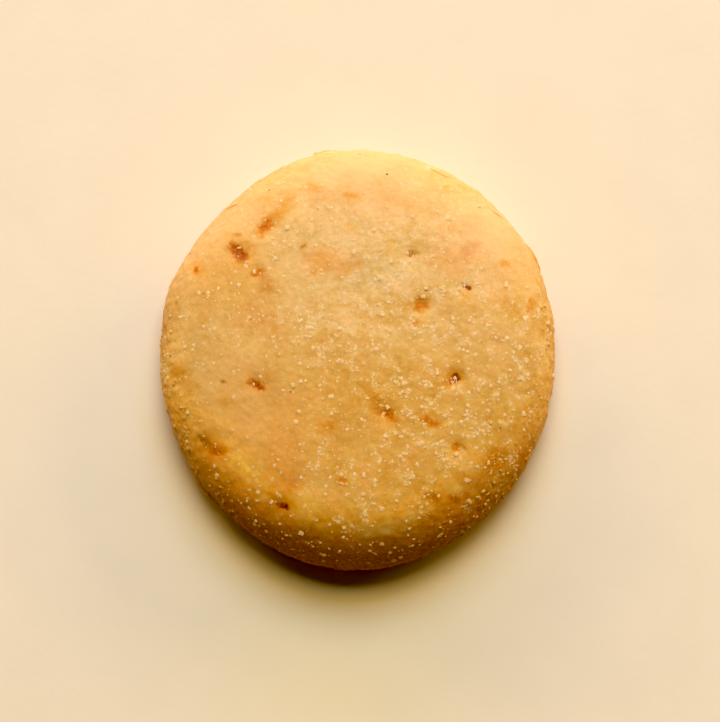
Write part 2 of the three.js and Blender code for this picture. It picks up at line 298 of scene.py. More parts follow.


# The broad, soft ones come first, among them the patches of painted light and shade, then the small flecks.
MARKS = [
    Mark(2.0, 12.0, 14, 6.5, 0, PALER_PAINTED_LIGHT, 1.0),
    Mark(2.2, 10.0, 5, 3.6, 0, PALER_PAINTED_LIGHT, 0.4),
    Mark(-3.0, 3.5, 6, 2.2, -10, PALER_PAINTED_LIGHT, 0.6),
    Mark(0, -8.5, 19, 8, 0, GOLDEN_PAINTED_SHADE, 1.0),
    Mark(-15.5, 9.0, 5, 5, 0, GOLDEN_PAINTED_SHADE, 1.0),
    Mark(-18.4, -12.4, 10, 3.6, -54, PAINTED_EDGE_LIGHT, 1.0),
    Mark(-7.5, -19.7, 6, 2.4, -10, PAINTED_EDGE_LIGHT, 0.8),
    Mark(6.5, -19.7, 5, 2.0, 10, PAINTED_EDGE_LIGHT, 0.4),
    Mark(-22.6, -1.0, 4, 1.8, 85, PAINTED_EDGE_LIGHT, 0.5),
    Mark(23.2, -4.5, 5, 1.6, 78, PAINTED_EDGE_LIGHT, 0.5),
    Mark(-21.8, -8.0, 4.5, 2.2, 108, PAINTED_EDGE_LIGHT, 0.8),
    Mark(18.6, -11.5, 6.5, 2.6, 58, PAINTED_EDGE_LIGHT, 0.6),
    Mark(-15.6, -15.4, 4, 2.4, -40, PAINTED_EDGE_LIGHT, 0.9),
    Mark(-15.0, -15.4, 4, 2.6, -38, PALER_PAINTED_LIGHT, 1.1),
    Mark(12.2, -19.7, 4, 1.8, 25, PAINTED_EDGE_LIGHT, 0.6),
    Mark(-3.0, 10.4, 3.6, 1.8, -10, PEACH, 1.5),
    Mark(12.0, 10.8, 3.0, 2.4, 0, PEACH, 1.2),
    Mark(-12.5, 3.5, 3.4, 2.2, 20, PEACH, 0.8),
    Mark(-9.0, -14.5, 2.6, 3.4, 0, PEACH, 1.2),
    Mark(5.0, 18.0, 3.0, 2.0, 0, PEACH, 0.8),
    Mark(-1.1, 14.9, 0.7, 0.5, 0, YELLOW, 1.0),
    Mark(3.8, 13.2, 0.6, 0.4, 0, YELLOW, 1.0),
    Mark(4.1, 11.6, 0.6, 0.5, 0, YELLOW, 0.8),
    Mark(2.4, 9.2, 0.5, 0.4, 0, YELLOW, 0.8),
    Mark(-14.8, 11.8, 1.3, 0.75, -50, DARK_RED, 1.0, 0.05),
    Mark(-14.4, 12.2, 2.3, 1.5, -50, ORANGE, 0.5),
    Mark(-11.8, 15.1, 1.2, 0.8, 50, RED_ORANGE, 1.0, 0.04),
    Mark(-10.8, 15.8, 1.6, 1.1, 40, ORANGE, 0.7),
    Mark(-9.3, 17.6, 2.0, 0.8, 50, ORANGE, 0.75),
    Mark(-12.6, 9.2, 0.9, 0.55, 20, RED_ORANGE, 0.85, 0.04),
    Mark(-11.3, 8.0, 1.7, 1.0, -40, PINK, 0.9),
    Mark(-15.0, 14.2, 0.5, 0.3, 0, BROWN, 0.5),
    Mark(-20.2, 9.7, 0.55, 0.35, -60, RED_ORANGE, 1.0),
    Mark(-20.1, 9.8, 1.2, 0.9, -60, ORANGE, 0.5),
    Mark(-4.0, 10.5, 1.9, 1.1, -10, ORANGE, 0.35),
    Mark(-5.5, 9.2, 0.5, 0.4, 0, ORANGE, 0.9, 0.02),
    Mark(-6.7, 12.4, 0.35, 0.3, 0, BROWN, 0.7, 0.02),
    Mark(6.8, 11.7, 0.65, 0.35, 20, BROWN, 0.9, 0.04),
    Mark(13.5, 7.4, 0.6, 0.26, -45, DEEP_RED, 1.0, 0.06),
    Mark(13.4, 6.3, 0.9, 0.5, 0, ORANGE, 0.7),
    Mark(7.8, 5.2, 1.2, 0.8, 35, RED_ORANGE, 0.9, 0.05),
    Mark(6.8, 2.8, 0.8, 0.45, 0, ORANGE, 0.9, 0.02),
    Mark(11.9, -4.1, 0.6, 0.4, 70, DEEP_RED, 1.0, 0.08),
    Mark(11.8, -4.0, 1.3, 1.0, 70, RED_ORANGE, 0.5),
    Mark(-12.4, -4.8, 0.9, 0.45, -10, DARK_RED, 1.0, 0.05),
    Mark(-12.4, -4.6, 1.7, 1.0, -10, ORANGE, 0.5),
    Mark(3.4, -8.6, 1.0, 0.6, -25, RED_ORANGE, 1.0, 0.06),
    Mark(2.3, -6.8, 1.3, 0.7, -40, ORANGE, 0.7),
    Mark(3.2, -8.2, 2.2, 1.5, -30, ORANGE, 0.5),
    Mark(8.7, -9.6, 1.2, 0.5, -10, RED_ORANGE, 0.7, 0.025),
    Mark(8.7, -9.4, 1.9, 1.0, -10, ORANGE, 0.5),
    Mark(-3.7, -10.1, 1.3, 0.9, 0, ORANGE, 0.8),
    Mark(-2.0, -16.8, 0.7, 0.5, 0, RED_ORANGE, 0.7),
    Mark(12.0, -12.8, 0.55, 0.4, 40, RED_ORANGE, 0.8, 0.05),
    Mark(12.9, -12.3, 0.5, 0.25, -40, BROWN, 0.6),
    Mark(-9.0, -19.7, 0.7, 0.4, -20, DEEP_RED, 1.0, 0.06),
    Mark(-9.2, -19.3, 1.5, 0.9, -20, ORANGE, 0.6),
    Mark(-8.3, -16.9, 1.5, 1.1, 0, PINK, 0.8),
    Mark(-19.1, -11.8, 1.3, 0.5, -35, OLIVE, 1.0, 0.03),
    Mark(-17.0, -12.9, 0.9, 0.45, -10, BROWN, 0.9, 0.025),
    Mark(-18.0, -12.3, 2.4, 1.0, -30, ORANGE, 0.6),
    Mark(-22.2, -3.2, 1.6, 1.1, -30, TOASTED, 0.7),
    Mark(-16.6, -4.6, 0.35, 0.25, 70, BROWN, 0.8),
    Mark(-16.2, -6.8, 1.0, 0.7, 0, ORANGE, 0.5),
    Mark(8.8, -18.7, 1.0, 0.5, 10, BROWN, 0.7),
    Mark(11.8, -18.7, 0.7, 0.4, 0, BROWN, 0.7),
    Mark(16.9, -13.9, 1.6, 1.2, 40, TOASTED, 0.9),
    Mark(17.3, 1.1, 1.0, 0.8, 0, PINK, 0.8),
    Mark(21.6, 5.4, 0.9, 0.35, 70, RED_ORANGE, 0.45),
    Mark(18.3, 10.5, 0.6, 0.4, 0, ORANGE, 0.9),
    Mark(13.8, 12.3, 1.3, 0.8, 30, PINK, 0.9),
    Mark(-0.8, 19.0, 1.0, 0.6, -20, ORANGE, 0.9),
    Mark(-5.9, 20.3, 1.2, 0.7, 0, ORANGE, 0.6),
    Mark(11.1, 20.4, 0.8, 0.5, 0, ORANGE, 0.5),
]

# Dark specks: the x and y of each.
SPECKS = [(-8.3, -5.8), (0.2, 25.4), (-19.2, 6.8), (-11.2, 20.2), (-21.3, 12.7), (3.6, 22.1), (17.5, -10.1)]

# Hairline cracks near the rim, dark slivers of painted shade: from one point to another.
CRACKS = [((9.2, 23.6), (11.4, 22.4)), ((16.8, 18.1), (18.2, 17.2)), ((-16.9, 18.3), (-15.0, 18.9))]

# ---------------------------------------------------------------- numbers and noise


def chance(count):
    """A scattered but repeatable number from 0 to 1 for each count."""
    wide = np.sin(np.asarray(count, float) * CHANCE_STEP + CHANCE_SEED) * CHANCE_SPREAD
    return wide - np.floor(wide)


def between(limits, share):
    """The value at a share of the way from the lower limit to the upper one."""
    return limits[0] + (limits[1] - limits[0]) * share


def smoothstep(value, low, high):
    """0 below low, 1 above high and a smooth rise between them."""
    share = np.clip((value - low) / (high - low), 0, 1)
    return share * share * (3 - 2 * share)


def bumps(points, size):
    """Smooth random bumps of that size, from about -1 to 1, at each point."""
    return np.array([noise.noise(point) for point in (points / size).tolist()])


# ---------------------------------------------------------------- the crust's form


def outline_radius(azimuth):
    """The radius of the widest line in a direction."""
    turned = azimuth - math.radians(LEAN)
    radius = 1 / np.hypot(np.cos(turned) / (WIDTH / 2), np.sin(turned) / (LENGTH / 2))
    for count, reach, peak in OUTLINE_WAVES:
        radius = radius + reach * np.cos(count * (azimuth - math.radians(peak)))
    from_corner = azimuth - math.radians(CORNER_PEAK)
    off = np.arctan2(np.sin(from_corner), np.cos(from_corner)) / math.radians(CORNER_SPREAD)
    return radius + CORNER_REACH * np.exp(-off * off)


def section_points():
    """The section from the middle of the top to that of the base: reaches, heights and the share before."""
    reach = np.sin(np.linspace(0, math.pi / 2, PROFILE_STEPS + 1))
    fall = CROWN_SHARE * reach**2 + (1 - CROWN_SHARE) * reach**SHOULDER_POWER
    height = WIDEST_HEIGHT + (THICKNESS - WIDEST_HEIGHT) * np.maximum(1 - fall, 0) ** SIDE_POWER
    curl_steps = PROFILE_STEPS // 4
    step = np.arange(1, curl_steps + 1) / curl_steps
    curl_reach = BASE_REACH + (1 - BASE_REACH) * np.cos(step * math.pi / 2)
    curl_height = WIDEST_HEIGHT * (1 - np.sin(step * math.pi / 2))
    reach = np.concatenate([reach, curl_reach, BASE_REACH * (1 - step)])
    height = np.concatenate([height, curl_height, 0 * step])
    length = np.hypot(np.diff(reach) * (WIDTH + LENGTH) / 4, np.diff(height))
    weight = np.where(height[1:] + height[:-1] < NEARLY_NOTHING, BASE_WEIGHT, 1)
    area = length * (reach[1:] + reach[:-1]) * weight
    before = np.concatenate([[0], np.cumsum(area)])
    return reach, height, before / before[-1]


SECTION_REACH, SECTION_HEIGHT, SECTION_BEFORE = section_points()


def smooth_points(azimuth, share):
    """The smooth body's points and outward normals."""
    high = np.clip(np.searchsorted(SECTION_BEFORE, share, side="right"), 1, len(SECTION_BEFORE) - 1)
    low = high - 1
    span = SECTION_BEFORE[high] - SECTION_BEFORE[low]
    part = np.clip((share - SECTION_BEFORE[low]) / span, 0, 1)
    radius = outline_radius(azimuth)
    across = (SECTION_REACH[high] - SECTION_REACH[low]) * radius
    down = SECTION_HEIGHT[low] - SECTION_HEIGHT[high]
    length = np.hypot(across, down)
    away = (SECTION_REACH[low] + (SECTION_REACH[high] - SECTION_REACH[low]) * part) * radius
    points = np.stack([away * np.cos(azimuth), away * np.sin(azimuth), SECTION_HEIGHT[low] - down * part], 1)
    slant = down / length
    normals = np.stack([slant * np.cos(azimuth), slant * np.sin(azimuth), across / length], 1)
    return points, normals


def relief(points):
    """How far the broad waves lift the crust."""
    height = np.zeros(len(points))
    for i in range(RELIEF_WAVES):
        length = LONGEST_WAVE * (SHORTEST_WAVE / LONGEST_WAVE) ** (i / (RELIEF_WAVES - 1))
        up = 1 - (2 * i + 1) / RELIEF_WAVES
        level = math.sqrt(1 - up * up)
        turn = i * GOLDEN_ANGLE
        along = points @ np.array([level * math.cos(turn), level * math.sin(turn), up])
        height += length * RELIEF_SHARE * np.sin(2 * math.pi * along / length + turn)
    return height


def pit_depth(points):
    """How far the pits sink the top."""
    depth = np.zeros(len(points))
    for x, y, radius, deep in PITS:
        away = np.hypot(points[:, 0] - x, points[:, 1] - y) / radius
        depth += deep * np.exp(-2 * away * away)
    return depth * (points[:, 2] > WIDEST_HEIGHT)


def plain_crust(azimuth, share, shown=1.0):
    """The solid's crust, or that share of its broad waves: points, outward normals and how uneven each is."""
    points, normals = smooth_points(azimuth, share)
    calm = SIDE_CALM + (1 - SIDE_CALM) * np.maximum(normals[:, 2], 0)
    fade = smoothstep(points[:, 2], 0, RELIEF_FADE)
    lift = shown * calm * fade * relief(points) - pit_depth(points)
    return points + normals * lift[:, None], normals, fade


def bareness(points):
    """How bare of salt the crust is, from 0 to 1."""
    shares = [
        np.exp(-(((points[:, 0] - x) ** 2 + (points[:, 1] - y) ** 2) / radius**2))
        for x, y, radius in BARE_PATCHES
    ]
    return np.max(shares, axis=0)


def saltiness(points):
    """How thickly fine salt lies at each point, from 0 to 1."""
    salty = np.full(len(points), USUAL_SALT)
    for drift in DRIFTS:
        salty += drift.more * np.exp(-(distance_over(points, drift) ** 2))
    salty += EDGE_SALT * browning_and_shade(points)
    finer, weaker = SALT_FRAYS
    clusters = bumps(points, SALT_GATHERS) + weaker * bumps(points, SALT_GATHERS / finer)
    gathered = between(GATHERED, smoothstep(clusters, *GATHERING))
    return np.clip(salty * gathered * (1 - bareness(points)), 0, 1)


def browning_and_shade(points):
    """How browned and shaded the crust is at each point: the low edge along one side, turned from the lamps,
    with a ragged border.
    """
    height = points[:, 2] + sum(far * bumps(points, size) for size, far in BORDER_BUMPS)
    return by_browned_shaded_edge(points) * (1 - smoothstep(height, *BROWNED_SHADED_HEIGHTS))


def by_browned_shaded_edge(points):
    """Whether each point lies in the directions of the browned and shaded edge, from 0 to 1."""
    azimuth = np.degrees(np.arctan2(points[:, 1], points[:, 0])) % 360
    azimuth += END_STRAY * bumps(points, END_BUMPS)
    begins, full, pales, ends = BROWNED_SHADED_EDGE
    return smoothstep(azimuth, begins, full) * (1 - smoothstep(azimuth, pales, ends))


def distance_over(points, spot):
    """How far each point lies from the middle of a mark or drift, seen from above, where 1 is its edge."""
    turn = math.radians(spot.turn)
    across, along = points[:, 0] - spot.x, points[:, 1] - spot.y
    right = across * math.cos(turn) + along * math.sin(turn)
    ahead = along * math.cos(turn) - across * math.sin(turn)
    return np.hypot(right / spot.long, ahead / spot.wide)


def mark_shares(points):
    """How strongly each mark shows at each point: one row for each mark."""
    warped = points.copy()
    for size, far in MARK_BUMPS:
        warped[:, 0] += far * bumps(points, size)
        warped[:, 1] += far * bumps(points + size * WARP_SHIFT, size)
    on_top = smoothstep(points[:, 2], WIDEST_HEIGHT, WIDEST_HEIGHT + MARKS_END)
    return np.array([on_top * (1 - smoothstep(distance_over(warped, mark), *MARK_FADE)) for mark in MARKS])


def crumb_height(points, normals):
    """How far the fine, crumbly unevenness lifts the crust."""
    rough = sum(height * bumps(points + size * CRUMB_SHIFT, size) for size, height in CRUMB_BUMPS)
    sideways = 1 - np.clip(normals[:, 2], 0, 1)
    return rough * (1 + (CRUMB_ON_SIDE - 1) * sideways)


def fine_crust(azimuth, share):
    """The crust with its crumb and sunken flecks: points, outward normals and each mark's share."""
    points, normals, fade = plain_crust(azimuth, share, RELIEF_SHOWN)
    shares = mark_shares(points)
    sunk = np.array([mark.sink for mark in MARKS]) @ shares
    lift = fade * crumb_height(points, normals) - sunk
    return points + normals * lift[:, None], normals, shares


def crust_over(places):
    """The crust's direction and share of the surface under each x and y on its top or shoulder."""
    across, along = np.array(places, float).T
    azimuth = np.arctan2(along, across)
    reach = np.hypot(across, along) / outline_radius(azimuth)
    upper = slice(0, PROFILE_STEPS + 1)
    return azimuth, np.interp(reach, SECTION_REACH[upper], SECTION_BEFORE[upper])


# ---------------------------------------------------------------- meshes


def geodesic_ball(divisions):
    """An even ball of triangles: each face of an icosahedron split into a triangular grid."""
    seed = bmesh.new()
    bmesh.ops.create_icosphere(seed, subdivisions=1, radius=1)
    steps = [(i, j) for i in range(divisions + 1) for j in range(divisions + 1 - i)]
    number = {step: n for n, step in enumerate(steps)}
    weights = np.array([(i, j, divisions - i - j) for i, j in steps]) / divisions
    grid = []
    for i, j in steps:
        if i + j < divisions:
            grid.append((number[i, j], number[i + 1, j], number[i, j + 1]))
        if i + j < divisions - 1:
            grid.append((number[i + 1, j], number[i + 1, j + 1], number[i, j + 1]))
    points, faces = [], []
    for face in seed.faces:
        corners = np.array([list(vertex.co) for vertex in face.verts])
        faces.append(np.array(grid) + len(points) * len(steps))
        points.append(weights @ corners)
    seed.free()
    points = np.concatenate(points)
    points /= np.linalg.norm(points, axis=1)[:, None]
    _, first, merged = np.unique(
        np.round(points, MERGE_DECIMALS), axis=0, return_index=True, return_inverse=True
    )
    return points[first], merged.reshape(-1)[np.concatenate(faces)]


def new_piece(name, points, faces, material, smooth):
    """A mesh object from points in millimetres, placed in the part's frame."""
    mesh = bpy.data.meshes.new(name)
    mesh.from_pydata(((points - MIDDLE) * MM).tolist(), [], faces.tolist())
    mesh.validate()
    if smooth:
        mesh.shade_smooth()
    mesh.materials.append(material)
    piece = bpy.data.objects.new(name, mesh)
    bpy.context.scene.collection.objects.link(piece)
    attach(piece, "root")
    return piece


def template_block(bevel):
    """A unit cube as points and triangles, with cut-off edges where bevel isn't 0."""
    shape = bmesh.new()
    bmesh.ops.create_cube(shape, size=1)
    if bevel:
        bmesh.ops.bevel(shape, geom=shape.edges[:], offset=bevel, segments=1, affect="EDGES")
    bmesh.ops.triangulate(shape, faces=shape.faces[:])
    return template_of(shape)


def template_pebble():
    """A unit ball of few triangles as points and triangles."""
    shape = bmesh.new()
    bmesh.ops.create_icosphere(shape, subdivisions=2, radius=0.5)
    return template_of(shape)


def template_of(shape):
    """A bmesh as an array of points and one of faces. The bmesh is freed."""
    shape.verts.index_update()
    points = np.array([list(vertex.co) for vertex in shape.verts])
    faces = np.array([[vertex.index for vertex in face.verts] for face in shape.faces])
    shape.free()
    return points, faces


def turning(turns):
    """Rotation matrices that turn about X, then Y, then Z of the turned axes."""
    cos, sin = np.cos(turns), np.sin(turns)
    one, none = np.ones(len(turns)), np.zeros(len(turns))

    def stacked(*entries):
        return np.stack(entries, 1).reshape(-1, 3, 3)

    about_x = stacked(one, none, none, none, cos[:, 0], -sin[:, 0], none, sin[:, 0], cos[:, 0])
    about_y = stacked(cos[:, 1], none, sin[:, 1], none, one, none, -sin[:, 1], none, cos[:, 1])
    about_z = stacked(cos[:, 2], -sin[:, 2], none, sin[:, 2], cos[:, 2], none, none, none, one)
    return about_x @ about_y @ about_z


def scattered(template, places, sides, turns, jitter):
    """Copies of a template, each with its own place, sides and turn, as one array of points and faces."""
    shape, faces = template
    count = len(places)
    copies = shape[None] * sides[:, None, :]
    stray = 2 * chance(np.arange(count * shape.size) * STRAY_STEP).reshape(count, *shape.shape) - 1
    copies = copies + stray * jitter * sides.mean(1)[:, None, None]
    copies = np.einsum("nij,nkj->nki", turning(turns), copies) + places[:, None, :]
    numbers = faces[None] + (np.arange(count) * len(shape))[:, None, None]
    return copies.reshape(-1, 3), numbers.reshape(-1, 3)


# ---------------------------------------------------------------- materials


def feed(tree, socket, value):
    """Links an input to another node's output, or sets it to a value."""
    if isinstance(value, bpy.types.NodeSocket):
        tree.links.new(value, socket)
    else:
        socket.default_value = value


def feed_all(tree, node, inputs):
    """Feeds a node's inputs, which are named with _ for each space."""
    for name, value in inputs.items():
        feed(tree, node.inputs[name.replace("_", " ")], value)


def add_node(tree, kind, settings=None, **inputs):
    """A shader node with its settings, and with what its inputs are fed."""
    made = tree.nodes.new(kind)
    for name, value in (settings or {}).items():
        setattr(made, name, value)
    feed_all(tree, made, inputs)
    return made


def mixed(tree, share, first, second, blend="MIX"):
    """The colour between two colours, or their product where blend says so."""
    node = tree.nodes.new("ShaderNodeMix")
    node.data_type = "RGBA"
    node.blend_type = blend
    for number, value in ((0, share), (6, first), (7, second)):
        feed(tree, node.inputs[number], value)
    return node.outputs[2]


def worked_out(tree, operation, first, second):
    """What an operation makes of two values."""
    node = add_node(tree, "ShaderNodeMath", {"operation": operation})
    feed(tree, node.inputs[0], first)
    feed(tree, node.inputs[1], second)
    return node.outputs["Value"]


def noise_at(tree, place, size, detail=3.0, roughness=0.5):
    """A noise of that size in millimetres, from about 0 to 1."""
    node = add_node(
        tree, "ShaderNodeTexNoise", Vector=place, Scale=1 / (size * MM), Detail=detail, Roughness=roughness
    )
    return node.outputs["Fac"]


def ranged(tree, value, low, high, to_low=0.0, to_high=1.0):
    """A value moved from one range to another and held within it."""
    node = add_node(
        tree,
        "ShaderNodeMapRange",
        Value=value,
        From_Min=low,
        From_Max=high,
        To_Min=to_low,
        To_Max=to_high,
    )
    return node.outputs["Result"]


def bumpy(tree, noise_value, height, strength, **under):
    """The normals of bumps of that height in millimetres, over those of other bumps where these are given."""
    node = add_node(
        tree, "ShaderNodeBump", Height=noise_value, Strength=strength, Distance=height * MM, **under
    )
    return node.outputs["Normal"]


def new_material(name):
    """A material with a plain shader: the material, its tree and the place on the object."""
    material = bpy.data.materials.new(name)
    material.use_nodes = True
    tree = material.node_tree
    return material, tree, tree.nodes.new("ShaderNodeTexCoord").outputs["Object"]


def set_shader(tree, **inputs):
    """Feeds the inputs of a material's shader."""
    feed_all(tree, tree.nodes["Principled BSDF"], inputs)


def attribute(tree, name, output="Fac"):
    """What paint() has given each point under that name."""
    return add_node(tree, "ShaderNodeAttribute", {"attribute_name": name}).outputs[output]


def dusting(tree, place, amount):
    """Where salt too fine for the mesh shows: small dots, more of them where the amount is higher."""
    cells = add_node(tree, "ShaderNodeTexVoronoi", Vector=place, Scale=1 / (DUST_SPACING * MM))
    dot = ranged(tree, cells.outputs["Distance"], *DUST_DOT)
    number = add_node(tree, "ShaderNodeSeparateColor", Color=cells.outputs["Color"]).outputs["Red"]
    limit = ranged(tree, amount, 0, 1, *DUST_SHOWN)
    return worked_out(tree, "MULTIPLY", dot, worked_out(tree, "LESS_THAN", number, limit))


def dough_material():
    """Short, baked dough: mottled yellow, tinted where it has flecks and where light and shade are painted,
    and faintly grainy.
    """
    material, tree, place = new_material("dough")
    mottled = ranged(tree, noise_at(tree, place, size=4, detail=7, roughness=0.8), 0.32, 0.68)
    peachy = ranged(tree, noise_at(tree, place, size=3, detail=3, roughness=0.6), 0.5, 0.7, 0, 0.6)
    colour = mixed(tree, mottled, DEEP_DOUGH, PALE_DOUGH)
    colour = mixed(tree, peachy, colour, PEACH_DOUGH)
    colour = mixed(tree, ranged(tree, attribute(tree, "bare"), 0, 1, 0, 0.7), colour, BARE_DOUGH)
    dust = attribute(tree, "dust")
    colour = mixed(tree, ranged(tree, dust, 0.05, 0.8, 0, 0.38), colour, HAZE)
    colour = mixed(tree, dusting(tree, place, dust), colour, DULL_SALT)
    ragged = ranged(tree, noise_at(tree, place, size=0.4, detail=3, roughness=0.6), 0.3, 0.7, 0.4, 1.5)
    tint = add_node(tree, "ShaderNodeGamma", Color=attribute(tree, "tint", "Color"), Gamma=ragged)
    grain = ranged(tree, noise_at(tree, place, size=0.35, detail=2), 0.35, 0.7)
    coarse = bumpy(tree, noise_at(tree, place, size=0.55, detail=3), height=0.06, strength=0.45)
    fine_noise = noise_at(tree, place, size=0.16, detail=2)
    set_shader(
        tree,
        Base_Color=mixed(tree, 1.0, colour, tint.outputs["Color"], "MULTIPLY"),
        Roughness=ranged(tree, grain, 0, 1, 0.55, 0.75),
        Specular_IOR_Level=0.2,
        Subsurface_Weight=0.25,
        Subsurface_Radius=(1.0, 0.55, 0.25),
        Subsurface_Scale=0.5 * MM,
        Normal=bumpy(tree, fine_noise, height=0.025, strength=0.45, Normal=coarse),
    )
    return material


def salt_material():
    """Salt crystals: pale, a little clouded and faintly glossy."""
    material, tree, place = new_material("salt")
    clouded = ranged(tree, noise_at(tree, place, size=0.6, detail=2), 0.38, 0.62)
    colour = mixed(tree, clouded, SALT, DULL_SALT)
    set_shader(tree, Base_Color=colour, Roughness=0.5, Specular_IOR_Level=0.35)
    return material


def crumb_material():
    """Loose crumbs of dough, pale in some places and deep in others."""
    material, tree, place = new_material("crumb")
    patchy = ranged(tree, noise_at(tree, place, size=0.7, detail=2), 0.35, 0.65)
    set_shader(tree, Base_Color=mixed(tree, patchy, CRUMB, DEEP_DOUGH), Roughness=0.7)
    return material


def dark_material(name, colour):
    """A dull, dark material, a little mottled."""
    material, tree, place = new_material(name)
    patchy = ranged(tree, noise_at(tree, place, size=0.3, detail=2), 0.3, 0.7, 0.6, 1.3)
    mottled = mixed(tree, 1.0, colour, patchy, "MULTIPLY")
    set_shader(tree, Base_Color=mottled, Roughness=0.8, Specular_IOR_Level=0.2)
    return material


def paper_material():
    """The plain pale sheet that the biscuit lies on."""
    material, tree, place = new_material("paper")
    cloudy = ranged(tree, noise_at(tree, place, size=9, detail=3), 0.3, 0.7, 0.97, 1.0)
    bounces = add_node(tree, "ShaderNodeLightPath").outputs["Is Diffuse Ray"]
    rough = noise_at(tree, place, size=1.1, detail=4, roughness=0.6)
    set_shader(
        tree,
        Base_Color=mixed(tree, 1.0, mixed(tree, bounces, PAPER, PAPER_BOUNCE), cloudy, "MULTIPLY"),
        Roughness=0.8,
        Specular_IOR_Level=0.2,
        Normal=bumpy(tree, rough, height=0.05, strength=0.35),
    )
    return material


# ---------------------------------------------------------------- pieces


def over_surface(ball):
    """The direction and the share of the surface that belong to each point of the ball."""
    return np.arctan2(ball[:, 1], ball[:, 0]), (1 - ball[:, 2]) / 2


def middle_of_body(ball):
    """The corner-to-corner middle of the plain body, as the solid is centred on it."""
    points, _, _ = plain_crust(*over_surface(ball))
    low, high = points.min(0), points.max(0)
    return np.array([(low[0] + high[0]) / 2, (low[1] + high[1]) / 2, low[2]])


BALL, BALL_FACES = geodesic_ball(BODY_DIVISIONS)
MIDDLE = middle_of_body(BALL)


def tint_of(points, normals, shares):
    """The colour that the marks, the baking and the painted light and shade leave at each point, as shares of
    the dough's own.
    """
    tint = np.ones((len(points), 3))
    for mark, share in zip(MARKS, shares):
        tint *= np.array(mark.tint) ** (share * mark.strength)[:, None]
    underside = smoothstep(-normals[:, 2], *UNDERSIDE)
    # Painted shade, partly real browning, on the low edge turned from the lamps.
    tint *= np.array(BROWNED_AND_SHADED) ** browning_and_shade(points)[:, None]
    # A darker foot on that edge: partly toasted, partly painted shade.
    foot = (1 - smoothstep(points[:, 2], *FOOT_HEIGHTS)) * by_browned_shaded_edge(points)
    tint *= np.array(TOASTED_SHADED_FOOT) ** foot[:, None]
    # A lighter band over that edge: partly paler crust, partly painted light.
    rim = np.exp(-(((points[:, 2] - RIM_HEIGHT) / RIM_SPREAD) ** 2)) * by_browned_shaded_edge(points)
    tint *= np.array(PALE_RIM_PAINTED_LIGHT) ** rim[:, None]
    return tint * np.array(TOASTED) ** underside[:, None]


def paint(piece, tints, dust, bare):
    """Gives each point of a piece of dough its tint, its dusting of salt and how bare it is."""
    colours = np.column_stack([tints, np.ones(len(tints))]).astype(np.float32)
    piece.data.attributes.new("tint", "FLOAT_COLOR", "POINT").data.foreach_set("color", colours.ravel())
    for name, values in (("dust", dust), ("bare", bare)):
        piece.data.attributes.new(name, "FLOAT", "POINT").data.foreach_set("value", values.astype(np.float32))


def make_body(material):
    """The biscuit's body, in place of the solid."""
    points, normals, shares = fine_crust(*over_surface(BALL))
    piece = new_piece("crust", points, BALL_FACES, material, smooth=True)
    dust = saltiness(points) * (1 - (1 - DUST_ON_BROWNED_SHADE) * browning_and_shade(points))
    paint(piece, tint_of(points, normals, shares), dust, bareness(points))
    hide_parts("biscuit")


class Grain(NamedTuple):
    """A coarse grain of salt."""

    place: np.ndarray
    normal: np.ndarray
    size: float
    draw: int  # the first of its draws


def coarse_grains():
    """The coarse grains, spread as the solid's are."""
    kept = []
    for i in range(GRAIN_SPOTS):
        azimuth = i * GOLDEN_ANGLE
        share = GRAINED_SHARE * (i + 0.5) / GRAIN_SPOTS
        points, normals, _ = plain_crust(np.array([azimuth]), np.array([share]), RELIEF_SHOWN)
        point, normal = points[0], normals[0]
        around = np.array([-math.sin(azimuth), math.cos(azimuth), 0])
        along = np.cross(normal, around)
        is_clump = i % CLUMP_EVERY == 0
        for j in range(CLUMP_GRAINS if is_clump else 1):
            draw = (i * CLUMP_GRAINS + j) * 2 * CHANCES_PER_GRAIN
            size = between(GRAIN_SIZE, chance(draw + CHANCES_PER_GRAIN) ** GRAIN_SKEW)
            turn = 2 * math.pi * (j + chance(draw + CHANCES_PER_GRAIN + 1)) / CLUMP_GRAINS
            reach = CLUMP_REACH if is_clump else 0
            place = point - normal * size * GRAIN_SINK
            place = place + reach * (around * math.cos(turn) + along * math.sin(turn))
            clear = all(
                np.linalg.norm(other.place - place) > (other.size + size) * GRAIN_CLEARANCE for other in kept
            )
            if clear and chance(draw + CHANCES_PER_GRAIN + 2) > bareness(place[None])[0]:
                kept.append(Grain(place, normal, size, draw))
    return kept


def new_crystals(name, template, places, normals, sides, turns, material):
    """Crystals, crumbs or specks as one mesh, pressed flat and shaded softly, half sunk in the crust."""
    points, faces = scattered(template, places, sides, turns, SALT_JITTER)
    corners = len(template[0])
    up = np.repeat(normals, corners, axis=0)
    outward = points - np.repeat(places, corners, axis=0)
    points -= SALT_PRESSED * (outward * up).sum(1)[:, None] * up
    piece = new_piece(name, points, faces, material, smooth=True)
    outward /= np.linalg.norm(outward, axis=1)[:, None]
    softness = between(SALT_SOFTNESS, np.clip(up[:, 2:], 0, 1))
    upward = CRUST_LEAN * up + (1 - CRUST_LEAN) * np.array([0, 0, 1])
    soft = outward * (1 - softness) + upward * softness
    soft /= np.linalg.norm(soft, axis=1)[:, None]
    piece.data.normals_split_custom_set_from_vertices(soft.tolist())


def make_coarse_salt(material):
    """The coarse grains as one mesh."""
    places, normals, sizes, draws = map(np.array, zip(*coarse_grains()))
    drawn = chance(draws[:, None] + np.arange(CHANCES_PER_GRAIN))
    sides = sizes[:, None] * between(GRAIN_SIDES, drawn[:, :3])
    turns = drawn[:, 3:] * math.pi
    shape = template_block(GRAIN_BEVEL)
    new_crystals("coarse_salt", shape, places, normals, sides, turns, material)


